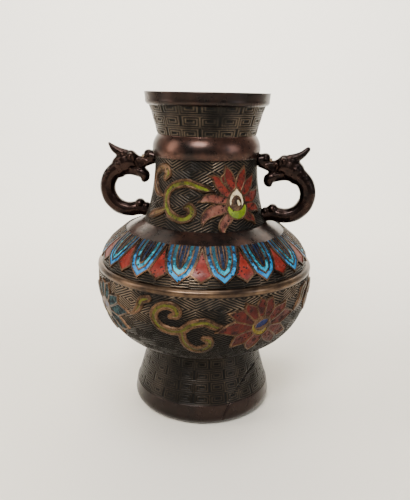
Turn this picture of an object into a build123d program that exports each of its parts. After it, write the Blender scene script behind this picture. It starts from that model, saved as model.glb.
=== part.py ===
"""Bronze vase with raised enamel cells, built as an assembly of cast, brazed and pinned pieces.

Frame: millimetres, +Z up, origin at the centre of the foot on the table.
The two dragon handles stand on the X axis; the front of the vase faces -Y.
Every profile is drawn as (radius, height) in the XZ plane and revolved about Z.
"""
from build123d import *
from math import radians, sin
import os

os.makedirs("parts", exist_ok=True)

# ---------------------------------------------------------------- driving dimensions
wall = 3.0                    # thickness of the castings
fit_gap = 0.05                # radial gap between a pin or disc and its hole

foot_height = 44.5
foot_radius = 44.8            # widest point of the foot
foot_sole_radius = 39.5       # outer radius of the ring that stands on the table
foot_band_height = 14.0       # plain band at the bottom of the foot
foot_waist_radius = 36.2
foot_step = 0.5               # ledge between the plain band and the patterned flare

joint_ring_height = 1.6       # brazing ring between the foot and the bowl
joint_ring_radius = 38.4
base_disc_radius = 34.0
base_disc_height = 2.4

bowl_height = 47.3
belly_radius = 67.3

band_height = 4.2             # half-round band that covers the seam at the belly
band_proud = 0.7

shoulder_height = 19.4
shoulder_radius = 64.8        # shoulder where it leaves the band
shoulder_top_radius = 49.6

collar_height = 5.6           # flared collar at the bottom of the neck casting
collar_radius = 50.4
collar_top_radius = 38.9
collar_step = 1.0

neck_height = 39.9
neck_radius = 31.2            # neck below the bead
bead_height = 13.0
bead_radius = 33.1
throat_radius = 29.9          # narrowest point, above the bead
mouth_height = 17.1
mouth_radius = 35.0
rim_height = 7.4
rim_radius = 38.0
rim_step = 1.0

cell_wall = 0.9               # thickness of the raised walls around the enamel
cell_wall_height = 1.3        # how far the walls stand out of the casting
enamel_height = 0.9           # how far the enamel stands out of the casting
petal_count = 16              # blue petals round the shoulder, with as many red ones between
petal_azimuth = 17.0          # centre of one blue petal, degrees from the front towards +X

neck_lotus_azimuth = 39.0
neck_lotus_count = 2
bowl_lotus_azimuth = 36.5
bowl_lotus_count = 4
neck_stem_turn = 54           # degrees from a neck lotus back to its stem
neck_curl_turn = 89           # and to the curl beyond the stem
bowl_stem_turn = 36.5
heart_radius = 7.2            # round heart of a neck lotus
bowl_heart_radius = 6.6       # round heart of a bowl lotus
petal_root = 3.4              # half-width of a lotus petal at the heart
stem_width = 5.2              # width of a scroll stem, walls included
stem_taper = 0.8              # how much thinner a side stem is

handle_reach = 68.0           # outermost point of a handle from the axis
handle_thickness = 9.4        # thickness of the tail, seen from the side
handle_width = 9.0
handle_centre_height = 140.3
handle_centre_radius = 49.6   # centre of the curled tail, from the axis
pin_radius = 1.6
pin_head_radius = 2.6
pin_head_height = 1.0
pin_setback = 2.6             # how far a pin reaches inside the neck before its head

# ---------------------------------------------------------------- heights, from the table up
z_foot_top = foot_height
z_bowl = z_foot_top + joint_ring_height
z_band = z_bowl + bowl_height
z_shoulder = z_band + band_height
z_collar = z_shoulder + shoulder_height
z_neck = z_collar + collar_height
z_bead = z_neck + neck_height
z_mouth = z_bead + bead_height
z_rim = z_mouth + mouth_height
z_top = z_rim + rim_height

# ---------------------------------------------------------------- outer profiles, as points
foot_flare = [
    (foot_radius - 1.1 - foot_step, foot_band_height),
    (foot_waist_radius + 3.6, foot_band_height + 0.38 * (foot_height - foot_band_height)),
    (foot_waist_radius + 0.4, foot_band_height + 0.80 * (foot_height - foot_band_height)),
    (foot_waist_radius, z_foot_top),
]
bowl_curve = [
    (joint_ring_radius, z_bowl),
    (0.715 * belly_radius, z_bowl + 0.055 * bowl_height),
    (0.840 * belly_radius, z_bowl + 0.200 * bowl_height),
    (0.955 * belly_radius, z_bowl + 0.490 * bowl_height),
    (0.998 * belly_radius, z_bowl + 0.780 * bowl_height),
    (belly_radius, z_band),
]
shoulder_drop = shoulder_radius - shoulder_top_radius
shoulder_curve = [
    (shoulder_radius, z_shoulder),
    (shoulder_radius - 0.10 * shoulder_drop, z_shoulder + 0.27 * shoulder_height),
    (shoulder_radius - 0.31 * shoulder_drop, z_shoulder + 0.53 * shoulder_height),
    (shoulder_radius - 0.66 * shoulder_drop, z_shoulder + 0.79 * shoulder_height),
    (shoulder_top_radius, z_collar),
]
neck_foot_radius = collar_top_radius - collar_step
neck_taper = neck_foot_radius - neck_radius
neck_curve = [
    (neck_foot_radius, z_neck),
    (neck_radius + 0.75 * neck_taper, z_neck + 0.11 * neck_height),
    (neck_radius + 0.21 * neck_taper, z_neck + 0.50 * neck_height),
    (neck_radius + 0.03 * neck_taper, z_neck + 0.75 * neck_height),
    (neck_radius, z_bead),
]


def outward(points, distance):
    """Move a profile outwards by a distance square to its general run."""
    moved = []
    last = len(points) - 1
    for i, (r, z) in enumerate(points):
        before = points[max(i - 1, 0)]
        after = points[min(i + 1, last)]
        run = Vector(after[0] - before[0], after[1] - before[1]).normalized()
        moved.append((r + distance * run.Y, z - distance * run.X))
    return moved


# ---------------------------------------------------------------- foot
with BuildPart() as foot_casting:
    with BuildSketch(Plane.XZ):
        with BuildLine():
            roll = ThreePointArc((foot_sole_radius, 0), (foot_radius - 1.3, 2.5), (foot_radius, 7.5))
            band = Line(roll @ 1, (foot_flare[0][0] + foot_step, foot_band_height))
            ledge = Line(band @ 1, foot_flare[0])
            flare = Spline(foot_flare, tangents=[(-0.35, 1), (0, 1)])
            top = Line(flare @ 1, (foot_waist_radius - wall, z_foot_top))
            inside = Spline(
                [top @ 1, (foot_waist_radius - wall + 2.4, 0.5 * foot_height), (foot_sole_radius - wall, 0)],
                tangents=[(0, -1), (0.2, -1)],
            )
            Line(inside @ 1, roll @ 0)
        make_face()
    revolve(axis=Axis.Z)

# ---------------------------------------------------------------- brazing ring and base disc
with BuildPart() as foot_joint_ring:
    with BuildSketch(Plane.XZ):
        with BuildLine():
            edge = ThreePointArc(
                (joint_ring_radius - 0.6, z_foot_top),
                (joint_ring_radius, z_foot_top + joint_ring_height / 2),
                (joint_ring_radius - 0.6, z_bowl),
            )
            Polyline(
                edge @ 1,
                (foot_waist_radius - wall, z_bowl),
                (foot_waist_radius - wall, z_foot_top),
                edge @ 0,
            )
        make_face()
    revolve(axis=Axis.Z)

with BuildPart() as base_disc:
    with BuildSketch(Plane.XY.offset(z_bowl)):
        Circle(base_disc_radius)
    extrude(amount=base_disc_height)
    chamfer(base_disc.edges().sort_by(Axis.Z)[-1], 0.4)

# ---------------------------------------------------------------- bowl
bowl_inside = outward(bowl_curve[1:], -wall)
with BuildPart() as bowl_casting:
    with BuildSketch(Plane.XZ):
        with BuildLine():
            outer = Spline(bowl_curve, tangents=[(1, 0.12), (0, 1)])
            lip = Line(outer @ 1, (belly_radius - wall, z_band))
            inner = Spline(
                [lip @ 1] + bowl_inside[-2::-1] + [(base_disc_radius + 1.5, z_bowl + base_disc_height)],
                tangents=[(0, -1), (-1, -0.12)],
            )
            Polyline(
                inner @ 1,
                (base_disc_radius + fit_gap, z_bowl + base_disc_height),
                (base_disc_radius + fit_gap, z_bowl),
                outer @ 0,
            )
        make_face()
    revolve(axis=Axis.Z)

# ---------------------------------------------------------------- belly band over the seam
with BuildPart() as belly_band:
    with BuildSketch(Plane.XZ):
        with BuildLine():
            round_face = ThreePointArc(
                (belly_radius + 0.2, z_band),
                (belly_radius + band_proud, z_band + 0.42 * band_height),
                (shoulder_radius + 1.3, z_shoulder),
            )
            Polyline(
                round_face @ 1,
                (shoulder_radius - wall, z_shoulder),
                (belly_radius - wall, z_band),
                round_face @ 0,
            )
        make_face()
    revolve(axis=Axis.Z)

# ---------------------------------------------------------------- shoulder
shoulder_inside = outward(shoulder_curve, -wall)
with BuildPart() as shoulder_casting:
    with BuildSketch(Plane.XZ):
        with BuildLine():
            outer = Spline(shoulder_curve)
            seat = Line(outer @ 1, (shoulder_top_radius - 1.6 * wall, z_collar))
            inner = Spline(
                [seat @ 1] + shoulder_inside[-2:0:-1] + [(shoulder_radius - wall, z_shoulder)]
            )
            Line(inner @ 1, outer @ 0)
        make_face()
    revolve(axis=Axis.Z)

# ---------------------------------------------------------------- neck, bead, mouth and rim
pin_heights = [z_neck + 4.0, z_bead - 2.2]


def neck_outline():
    """Outer outline of the neck casting, from the collar's edge up to the rim."""
    collar = Spline(
        (collar_radius, z_collar),
        (collar_top_radius + 3.6, z_collar + 0.68 * collar_height),
        (collar_top_radius, z_neck),
    )
    step = Line(collar @ 1, neck_curve[0])
    neck = Spline(neck_curve)
    ledge = Line(neck @ 1, (bead_radius - 0.9, z_bead))
    bead = Spline(
        ledge @ 1,
        (bead_radius, z_bead + 0.36 * bead_height),
        (bead_radius - 0.9, z_bead + 0.70 * bead_height),
        (throat_radius, z_mouth),
    )
    mouth = Spline(
        bead @ 1,
        (throat_radius + 0.30 * (mouth_radius - throat_radius), z_mouth + 0.34 * mouth_height),
        (mouth_radius, z_rim),
    )
    under = Line(mouth @ 1, (mouth_radius + rim_step, z_rim))
    turn = ThreePointArc(
        under @ 1,
        (rim_radius - 0.9, z_rim + 0.12 * rim_height),
        (rim_radius - 0.5, z_rim + 0.40 * rim_height),
    )
    Line(turn @ 1, (rim_radius, z_top))
    return collar


with BuildPart() as neck_casting:
    with BuildSketch(Plane.XZ):
        with BuildLine():
            collar = neck_outline()
            lip = Line((rim_radius, z_top), (rim_radius - 1.2 * wall, z_top))
            inner = Spline(
                lip @ 1,
                (mouth_radius - wall, z_rim - 2.0),
                (throat_radius - wall, z_mouth),
                (neck_radius - wall, z_bead - 4.0),
                (neck_radius - wall + 0.30 * neck_taper, z_neck + 0.42 * neck_height),
                (neck_foot_radius - wall + 0.6, z_neck - 0.5),
                (shoulder_top_radius - 1.6 * wall, z_collar),
            )
            Line(inner @ 1, collar @ 0)
        make_face()
    revolve(axis=Axis.Z)
    for height in pin_heights:
        with BuildSketch(Plane.YZ):
            with Locations((0, height)):
                Circle(pin_radius + fit_gap)
        extrude(amount=handle_reach, both=True, mode=Mode.SUBTRACT)

with BuildPart() as neck_core:
    with BuildSketch(Plane.XZ):
        with BuildLine():
            collar = neck_outline()
            Polyline((rim_radius, z_top), (0, z_top), (0, z_collar), collar @ 0)
        make_face()
    revolve(axis=Axis.Z)

# ---------------------------------------------------------------- dragon handles
tail_x = handle_centre_radius
tail_bend = handle_reach - handle_thickness / 2 - tail_x
with BuildPart() as handle_blank:
    with BuildLine(Plane.XZ) as tail_line:
        CenterArc((tail_x, handle_centre_height), tail_bend, -105, 175)
    with BuildSketch(Plane(origin=tail_line.line @ 0, z_dir=tail_line.line % 0)):
        Circle(handle_thickness / 2)
    sweep()
    with BuildSketch(Plane.XZ) as head_side:
        with BuildLine():
            horn = Polyline(
                (tail_x + 6.0, handle_centre_height + 11.0),
                (tail_x + 8.2, handle_centre_height + 19.8),
                (tail_x + 13.6, handle_centre_height + 27.0),
                (tail_x + 12.0, handle_centre_height + 28.6),
            )
            crest = Spline(
                horn @ 1,
                (tail_x + 5.6, handle_centre_height + 24.9),
                (tail_x - 1.0, handle_centre_height + 24.2),
            )
            snout = Line(crest @ 1, (tail_x - 9.0, handle_centre_height + 20.2))
            curl = Spline(
                snout @ 1,
                (tail_x - 9.9, handle_centre_height + 23.4),
                (tail_x - 13.0, handle_centre_height + 24.8),
            )
            root = Polyline(
                curl @ 1,
                (throat_radius, handle_centre_height + 24.8),
                (throat_radius, handle_centre_height + 16.4),
                (tail_x - 17.2, handle_centre_height + 16.4),
                (tail_x - 12.4, handle_centre_height + 12.6),
            )
            jaw = Spline(
                root @ 1,
                (tail_x - 13.9, handle_centre_height + 8.4),
                (tail_x - 10.2, handle_centre_height + 3.7),
                (tail_x - 5.0, handle_centre_height + 7.6),
                (tail_x, handle_centre_height + tail_bend - handle_thickness / 2),
            )
            Line(jaw @ 1, horn @ 0)
        make_face()
    extrude(amount=handle_width / 2, both=True)
    with BuildSketch(Plane.XZ) as knob_side:
        with BuildLine():
            knob = Spline(
                (tail_x - 3.0, handle_centre_height - 9.9),
                (tail_x - 5.0, handle_centre_height - 7.4),
                (tail_x - 8.6, handle_centre_height - 7.0),
                (tail_x - 11.6, handle_centre_height - 10.6),
            )
            Polyline(
                knob @ 1,
                (neck_radius, handle_centre_height - 10.6),
                (neck_radius, handle_centre_height - 17.0),
                (tail_x - 3.0, handle_centre_height - 17.0),
                knob @ 0,
            )
        make_face()
    extrude(amount=0.4 * handle_width, both=True)
    add(neck_core.part, mode=Mode.SUBTRACT)
    for height in pin_heights:
        with BuildSketch(Plane.YZ.offset(throat_radius)):
            with Locations((0, height)):
                Circle(pin_radius + fit_gap)
        extrude(amount=tail_x - 6.0 - throat_radius, mode=Mode.SUBTRACT)

with BuildPart() as handle_right:
    add(handle_blank.part)

with BuildPart() as handle_left:
    add(handle_blank.part.rotate(Axis.Z, 180))

with BuildPart() as pin_blank:
    for height in pin_heights:
        start = neck_radius - wall if height > handle_centre_height else neck_foot_radius - wall
        with BuildSketch(Plane.YZ.offset(start - pin_setback)):
            with Locations((0, height)):
                Circle(pin_radius)
        extrude(amount=tail_x - 9.0 + pin_setback - start)
        with BuildSketch(Plane.YZ.offset(start - pin_setback)):
            with Locations((0, height)):
                Circle(pin_head_radius)
        extrude(amount=-pin_head_height)

with BuildPart() as pins_right:
    add(pin_blank.part)

with BuildPart() as pins_left:
    add(pin_blank.part.rotate(Axis.Z, 180))

# ---------------------------------------------------------------- skins that the cells stand on
def skin(curve, height, tangents=None):
    """The layer of a given height on top of a turned profile."""
    with BuildPart() as layer:
        with BuildSketch(Plane.XZ):
            with BuildLine():
                lower = Spline(curve, tangents=tangents)
                upper = Spline(outward(curve, height), tangents=tangents)
                Line(lower @ 0, upper @ 0)
                Line(lower @ 1, upper @ 1)
            make_face()
        revolve(axis=Axis.Z)
    return layer.part


def standing(outline, plane, layer, depth):
    """Raise an outline from a plane and keep what lies within a skin."""
    with BuildPart() as raised:
        with BuildSketch(plane):
            add(outline)
        extrude(amount=depth)
        add(layer, mode=Mode.INTERSECT)
    return raised.part


def repeated(piece, count, azimuth):
    """Copies of a piece made at the front, evenly spaced about the axis."""
    with BuildPart() as ring:
        with PolarLocations(0, count, start_angle=azimuth):
            add(piece)
    return ring


# ---------------------------------------------------------------- petals round the shoulder
slope_run = Vector(shoulder_top_radius - shoulder_radius, z_collar - z_shoulder)
slope_length = slope_run.length
petal_pitch = 360 / petal_count
shoulder_bulge = 6.0
petal_plane = Plane(
    origin=(0, -shoulder_top_radius, z_collar),
    x_dir=(1, 0, 0),
    z_dir=(0, slope_run.Y / -slope_length, -slope_run.X / slope_length),
)
petal_plane = petal_plane.offset(-shoulder_bulge)
notch_depth = 0.74             # how far down the slope two neighbouring petals part
notch_half_width = sin(radians(petal_pitch / 4)) * (shoulder_radius - 2.5)
petal_half_width = sin(radians(petal_pitch / 2)) * shoulder_top_radius - 0.7


def blue_petal(inset):
    """Outline of a blue petal, shrunk by an inset; local y runs up the slope."""
    half = petal_half_width - inset
    notch = (notch_half_width - 0.83 * inset, -notch_depth * slope_length + 0.6 * inset)
    tip = (0, -0.95 * slope_length + 1.36 * inset)
    side = (half + 0.9, -0.45 * slope_length + 0.4 * inset)
    with BuildSketch() as outline:
        with BuildLine():
            right = Bezier((half, 0.4), side, notch)
            Polyline(right @ 1, tip, (-notch[0], notch[1]))
            left = Bezier((-notch[0], notch[1]), (-side[0], side[1]), (-half, 0.4))
            Line(left @ 1, right @ 0)
        make_face()
    return outline.sketch


def red_petal(inset):
    """Outline of a red petal, seen between two blue ones."""
    notch = (notch_half_width - 1.1 * inset, -notch_depth * slope_length + 0.3 * inset)
    tip = (0, -0.92 * slope_length + 1.5 * inset)
    side = (2.4 - 0.6 * inset, -0.42 * slope_length)
    with BuildSketch() as outline:
        with BuildLine():
            right = Bezier((0, -1.0 - 3.0 * inset), side, notch)
            Polyline(right @ 1, tip, (-notch[0], notch[1]))
            Bezier((-notch[0], notch[1]), (-side[0], side[1]), right @ 0)
        make_face()
    return outline.sketch


wall_skin = skin(shoulder_curve, cell_wall_height) - neck_core.part
enamel_skin = skin(shoulder_curve, enamel_height) - neck_core.part
band_width = 2.0
insets = [0, cell_wall, cell_wall + band_width, 2 * cell_wall + band_width]
insets += [2 * (cell_wall + band_width), 3 * cell_wall + 2 * band_width]
nested = [blue_petal(inset) for inset in insets]
with BuildSketch() as leaf_cells:
    add(nested[5])
    for x in (-cell_wall, cell_wall):
        with Locations((1.3 * x, -slope_length / 4)):
            Rectangle(0.6 * cell_wall, slope_length, mode=Mode.SUBTRACT)
outer_band = nested[1] - nested[2]
inner_band = nested[3] - nested[4]
red_cell = red_petal(cell_wall)
blue_frame = nested[0] - outer_band - inner_band - leaf_cells.sketch
red_frame = red_petal(0) - red_cell
petal_depth = 2.5 * shoulder_bulge
half_pitch = petal_pitch / 2


def petals(outline, layer, azimuth):
    """One kind of cell on every petal of the ring."""
    return repeated(standing(outline, petal_plane, layer, petal_depth), petal_count, azimuth)


blue_walls = standing(blue_frame, petal_plane, wall_skin, petal_depth)
red_walls = standing(red_frame, petal_plane, wall_skin, petal_depth) - standing(
    nested[0], petal_plane, wall_skin, petal_depth
).rotate(Axis.Z, half_pitch) - standing(nested[0], petal_plane, wall_skin, petal_depth).rotate(
    Axis.Z, -half_pitch
)
with BuildPart() as petal_walls:
    with PolarLocations(0, petal_count, start_angle=petal_azimuth):
        add(blue_walls)
    with PolarLocations(0, petal_count, start_angle=petal_azimuth + half_pitch):
        add(red_walls)
petal_enamel_sky = petals(outer_band, enamel_skin, petal_azimuth)
petal_enamel_turquoise = petals(inner_band, enamel_skin, petal_azimuth)
petal_enamel_dark = petals(leaf_cells.sketch, enamel_skin, petal_azimuth)
petal_enamel_red = petals(red_cell, enamel_skin, petal_azimuth + half_pitch)

# ---------------------------------------------------------------- flowers and scrolls
def flat_plane(radius, height):
    """Plane inside the vase, square to the front, that outlines are raised from."""
    return Plane(origin=(0, -0.5 * radius, height), x_dir=(1, 0, 0), z_dir=(0, -1, 0))


def round_to(radius, points):
    """Turn (arc length, height) pairs into flat ones, so that they wrap round a radius."""
    return [(radius * sin(u / radius), v) for u, v in points]


def lotus_petal(tip, heart, inset, radius):
    """Pointed petal from a round heart to its tip, shrunk by an inset."""
    reach = Vector(tip[0], tip[1])
    along = reach.normalized()
    side = Vector(-along.Y, along.X)
    half = petal_root - inset
    root = along * (heart * 0.9 + inset)
    end = reach - along * (2.2 * inset)
    middle = root + (end - root) * 0.45
    corners = [root + side * half, middle + side * (half + 1.6), end, middle - side * (half + 1.6)]
    corners += [root - side * half]
    start, bulge, point, hollow, finish = round_to(radius, [(c.X, c.Y) for c in corners])
    with BuildSketch() as petal:
        with BuildLine():
            up = Bezier(start, bulge, point)
            down = Bezier(up @ 1, hollow, finish)
            Line(down @ 1, up @ 0)
        make_face()
    return petal.sketch


def lotus(tips, heart, radius, plan):
    """Frame and petal cells of a whole flower, around a heart given by its plan."""
    with BuildSketch() as whole:
        Circle(heart)
        for tip in tips:
            add(lotus_petal(tip, heart, 0, radius))
    with BuildSketch() as cells:
        for tip in tips:
            add(lotus_petal(tip, heart, cell_wall, radius))
        for tip in tips:
            rim = lotus_petal(tip, heart, 0, radius) - lotus_petal(tip, heart, 0.6 * cell_wall, radius)
            add(rim, mode=Mode.SUBTRACT)
        add(plan, mode=Mode.SUBTRACT)
    return whole.sketch, cells.sketch


def scroll(points, radius, width, knob):
    """A curling stem of even width that ends in a round knob."""
    with BuildSketch() as stem:
        with BuildLine() as centre:
            Spline(round_to(radius, points))
        trace(centre.line, line_width=width)
        with Locations(centre.line @ 1):
            Circle(knob)
        with Locations(centre.line @ 0):
            Circle(width / 2)
    return stem.sketch


def framed(shapes, inner_shapes):
    """Union of outer shapes, and the union of the cells inside them."""
    with BuildSketch() as outer:
        for shape in shapes:
            add(shape)
    with BuildSketch() as inner:
        for shape in inner_shapes:
            add(shape)
    return outer.sketch, inner.sketch


def on_casting(outline, radius, height, layer, count, azimuth):
    """Raise an outline on a casting and repeat it about the axis."""
    piece = standing(outline, flat_plane(radius, height), layer, radius)
    return repeated(piece, count, azimuth)


# neck: one flower, its scroll, a side curl and a branch, twice round
neck_middle_radius = neck_radius + 0.3 * neck_taper
neck_wall_skin = skin(neck_curve, cell_wall_height)
neck_enamel_skin = skin(neck_curve, enamel_height)
neck_tips = [(-17.4, 15.7), (-6.3, 21.0), (6.8, 20.4), (14.6, 14.6), (20.5, 5.5), (17.5, -4.5)]
neck_tips += [(10.0, -10.5), (-9.5, -13.8), (-19.8, -9.8), (-22.6, 3.4)]
neck_lotus_height = z_neck + 0.40 * neck_height
with BuildSketch() as neck_heart_plan:
    Circle(heart_radius)
neck_flower, neck_petal_cells = lotus(
    neck_tips, heart_radius, neck_middle_radius, neck_heart_plan.sketch
)
with BuildSketch() as neck_heart_bud:
    with Locations((0, 0.30 * heart_radius)):
        Ellipse(0.62 * heart_radius, 0.52 * heart_radius)
with BuildSketch() as neck_heart_crescent:
    Circle(heart_radius - cell_wall)
    with Locations((0, 0.30 * heart_radius)):
        Ellipse(0.62 * heart_radius + cell_wall, 0.52 * heart_radius + cell_wall, mode=Mode.SUBTRACT)
    with Locations((0, heart_radius)):
        Rectangle(3 * heart_radius, 1.5 * heart_radius, mode=Mode.SUBTRACT)
neck_flower_frame = neck_flower - neck_petal_cells - neck_heart_bud.sketch
neck_flower_frame = neck_flower_frame - neck_heart_crescent.sketch

neck_stem = [(18.0, 7.0), (8.9, 8.6), (1.2, 9.9), (-7.0, 8.7), (-12.0, 4.0), (-11.8, -2.2), (-8.1, -7.0)]
neck_stem += [(-1.6, -10.1), (3.8, -8.6), (5.9, -4.6), (3.0, -1.9)]
neck_curl = [(4.4, -6.0), (-3.0, -2.8), (-5.6, 2.6), (-5.0, 8.4), (0.6, 11.2), (4.6, 8.2), (2.2, 5.0)]
neck_branch = [(7.5, -9.5), (1.0, -12.0), (-5.0, -13.6)]
neck_stem_azimuth = neck_lotus_azimuth - neck_stem_turn
neck_curl_azimuth = neck_lotus_azimuth - neck_curl_turn
core = stem_width - 2 * cell_wall
thin = stem_width - stem_taper
neck_scroll_height = z_neck + 0.42 * neck_height

stem_outer = scroll(neck_stem, neck_middle_radius, stem_width, 0.7 * stem_width)
stem_inner = scroll(neck_stem, neck_middle_radius, core, 0.7 * stem_width - cell_wall)
curl_outer, curl_inner = framed(
    [
        scroll(neck_curl, neck_middle_radius, thin, 0.6 * thin),
        scroll(neck_branch, neck_middle_radius, thin, 0.5 * thin),
    ],
    [
        scroll(neck_curl, neck_middle_radius, thin - 2 * cell_wall, 0.6 * thin - cell_wall),
        scroll(neck_branch, neck_middle_radius, thin - 2 * cell_wall, 0.5 * thin - cell_wall),
    ],
)


def on_neck(outline, height, layer, azimuth):
    """Raise an outline on the neck, once for each flower."""
    return on_casting(outline, neck_middle_radius, height, layer, neck_lotus_count, azimuth)


neck_lotus_walls = on_neck(neck_flower_frame, neck_lotus_height, neck_wall_skin, neck_lotus_azimuth)
neck_lotus_petals = on_neck(neck_petal_cells, neck_lotus_height, neck_enamel_skin, neck_lotus_azimuth)
neck_lotus_heart_white = on_neck(
    neck_heart_bud.sketch, neck_lotus_height, neck_enamel_skin, neck_lotus_azimuth
)
neck_lotus_heart_green = on_neck(
    neck_heart_crescent.sketch, neck_lotus_height, neck_enamel_skin, neck_lotus_azimuth
)


def scroll_cells(outer, inner, height, azimuth, layers, ring):
    """Frame and enamel of one stretch of scroll, as two rings of copies."""
    radius, count = ring
    frame = on_casting(outer - inner, radius, height, layers[0], count, azimuth)
    fill = on_casting(inner, radius, height, layers[1], count, azimuth)
    return frame.part, fill.part


neck_layers = (neck_wall_skin, neck_enamel_skin)
neck_ring = (neck_middle_radius, neck_lotus_count)
stem_frame, stem_fill = scroll_cells(
    stem_outer, stem_inner, neck_scroll_height, neck_stem_azimuth, neck_layers, neck_ring
)
curl_frame, curl_fill = scroll_cells(
    curl_outer, curl_inner, neck_scroll_height, neck_curl_azimuth, neck_layers, neck_ring
)
# the scrolls stop where a flower's own frame begins
flower_block = on_neck(neck_flower, neck_lotus_height, neck_wall_skin, neck_lotus_azimuth)
with BuildPart() as neck_scroll_walls:
    add(stem_frame)
    add(curl_frame - stem_fill)
    add(flower_block.part, mode=Mode.SUBTRACT)
with BuildPart() as neck_scroll_enamel:
    add(stem_fill)
    add(curl_fill - stem_frame)
    add(flower_block.part, mode=Mode.SUBTRACT)

# bowl: four flowers joined by scrolls
bowl_wall_skin = skin(bowl_curve, cell_wall_height, tangents=[(1, 0.12), (0, 1)])
bowl_enamel_skin = skin(bowl_curve, enamel_height, tangents=[(1, 0.12), (0, 1)])
bowl_lotus_height = z_bowl + 0.60 * bowl_height
bowl_tips = [(-26.0, -2.0), (-20.2, 9.2), (-10.2, 14.6), (6.0, 15.8), (16.5, 11.2), (23.5, 2.5)]
bowl_tips += [(20.5, -8.0), (11.0, -14.5), (-4.0, -16.5), (-17.0, -12.5)]
with BuildSketch() as bowl_heart_plan:
    Circle(bowl_heart_radius)
bowl_flower, bowl_petal_cells = lotus(bowl_tips, bowl_heart_radius, belly_radius, bowl_heart_plan.sketch)
with BuildSketch() as bowl_heart_lens:
    with Locations(Location((0, 1.2), 24)):
        Ellipse(0.84 * bowl_heart_radius, 0.42 * bowl_heart_radius)
with BuildSketch() as bowl_heart_crescent:
    Circle(bowl_heart_radius - cell_wall)
    with Locations((0, 0.42 * bowl_heart_radius)):
        Ellipse(1.3 * bowl_heart_radius, 0.98 * bowl_heart_radius, mode=Mode.SUBTRACT)
bowl_flower_frame = bowl_flower - bowl_petal_cells - bowl_heart_lens.sketch
bowl_flower_frame = bowl_flower_frame - bowl_heart_crescent.sketch


def on_bowl(outline, layer, count, azimuth):
    """Raise an outline on the bowl, once for each flower of a kind."""
    return on_casting(outline, belly_radius, bowl_lotus_height, layer, count, azimuth)


pair = bowl_lotus_count // 2
next_azimuth = bowl_lotus_azimuth + 360 / bowl_lotus_count
bowl_lotus_walls = on_bowl(bowl_flower_frame, bowl_wall_skin, bowl_lotus_count, bowl_lotus_azimuth)
bowl_lotus_petals_red = on_bowl(bowl_petal_cells, bowl_enamel_skin, pair, bowl_lotus_azimuth)
bowl_lotus_petals_blue = on_bowl(bowl_petal_cells, bowl_enamel_skin, pair, next_azimuth)
bowl_lotus_heart_blue = on_bowl(
    bowl_heart_lens.sketch, bowl_enamel_skin, bowl_lotus_count, bowl_lotus_azimuth
)
bowl_lotus_heart_yellow = on_bowl(
    bowl_heart_crescent.sketch, bowl_enamel_skin, bowl_lotus_count, bowl_lotus_azimuth
)

bowl_stem = [(24.0, -1.0), (16.5, 1.5), (9.2, 5.2), (1.6, 3.4), (-3.8, -1.6), (-9.4, -2.5)]
bowl_stem += [(-17.2, -0.4), (-19.6, 5.4), (-17.4, 10.6), (-12.2, 12.6), (-7.0, 9.8), (-7.8, 6.2)]
bowl_curl = [(-3.6, -2.4), (-3.9, -8.6), (0.0, -13.2), (6.4, -14.2), (11.4, -10.0), (10.0, -6.0)]
bowl_stem_azimuth = bowl_lotus_azimuth - bowl_stem_turn
stem_set = [
    scroll(bowl_stem, belly_radius, stem_width, 0.62 * stem_width),
    scroll(bowl_curl, belly_radius, thin, 0.62 * thin),
]
core_set = [
    scroll(bowl_stem, belly_radius, core, 0.62 * stem_width - cell_wall),
    scroll(bowl_curl, belly_radius, thin - 2 * cell_wall, 0.62 * thin - cell_wall),
]
bowl_stems, bowl_cores = framed(stem_set, core_set)
bowl_layers = (bowl_wall_skin, bowl_enamel_skin)
bowl_ring = (belly_radius, bowl_lotus_count)
frame_ring, fill_ring = scroll_cells(
    bowl_stems, bowl_cores, bowl_lotus_height, bowl_stem_azimuth, bowl_layers, bowl_ring
)
bowl_block = on_bowl(bowl_flower, bowl_wall_skin, bowl_lotus_count, bowl_lotus_azimuth)
with BuildPart() as bowl_scroll_walls:
    add(frame_ring)
    add(bowl_block.part, mode=Mode.SUBTRACT)
with BuildPart() as bowl_scroll_enamel:
    add(fill_ring)
    add(bowl_block.part, mode=Mode.SUBTRACT)

for name, piece in {
    "foot_casting": foot_casting,
    "foot_joint_ring": foot_joint_ring,
    "base_disc": base_disc,
    "bowl_casting": bowl_casting,
    "belly_band": belly_band,
    "shoulder_casting": shoulder_casting,
    "neck_casting": neck_casting,
    "handle_left": handle_left,
    "handle_right": handle_right,
    "handle_pins_left": pins_left,
    "handle_pins_right": pins_right,
    "petal_walls": petal_walls,
    "petal_enamel_sky": petal_enamel_sky,
    "petal_enamel_turquoise": petal_enamel_turquoise,
    "petal_enamel_dark": petal_enamel_dark,
    "petal_enamel_red": petal_enamel_red,
    "neck_lotus_walls": neck_lotus_walls,
    "neck_lotus_petals": neck_lotus_petals,
    "neck_lotus_heart_white": neck_lotus_heart_white,
    "neck_lotus_heart_green": neck_lotus_heart_green,
    "neck_scroll_walls": neck_scroll_walls,
    "neck_scroll_enamel": neck_scroll_enamel,
    "bowl_lotus_walls": bowl_lotus_walls,
    "bowl_lotus_petals_red": bowl_lotus_petals_red,
    "bowl_lotus_petals_blue": bowl_lotus_petals_blue,
    "bowl_lotus_heart_blue": bowl_lotus_heart_blue,
    "bowl_lotus_heart_yellow": bowl_lotus_heart_yellow,
    "bowl_scroll_walls": bowl_scroll_walls,
    "bowl_scroll_enamel": bowl_scroll_enamel,
}.items():
    piece.part.label = name
    export_step(piece.part, f"parts/{name}.step", write_pcurves=name != "petal_walls")
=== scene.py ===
# %% [markdown]
# # A bronze vase with enamel flowers
# The vase is cast in sections, brazed together, and ornamented in two ways. Raised walls hold
# pools of coloured enamel, and between them the ground is chased with fine ridges. This lesson
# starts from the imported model, which holds every piece at its true size, and gives each piece
# the surface that a founder and an enameller would leave on it.

import bmesh
import bpy
import numpy as np
from math import cos, pi, radians, sin
from mathutils import Matrix, Vector


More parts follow.
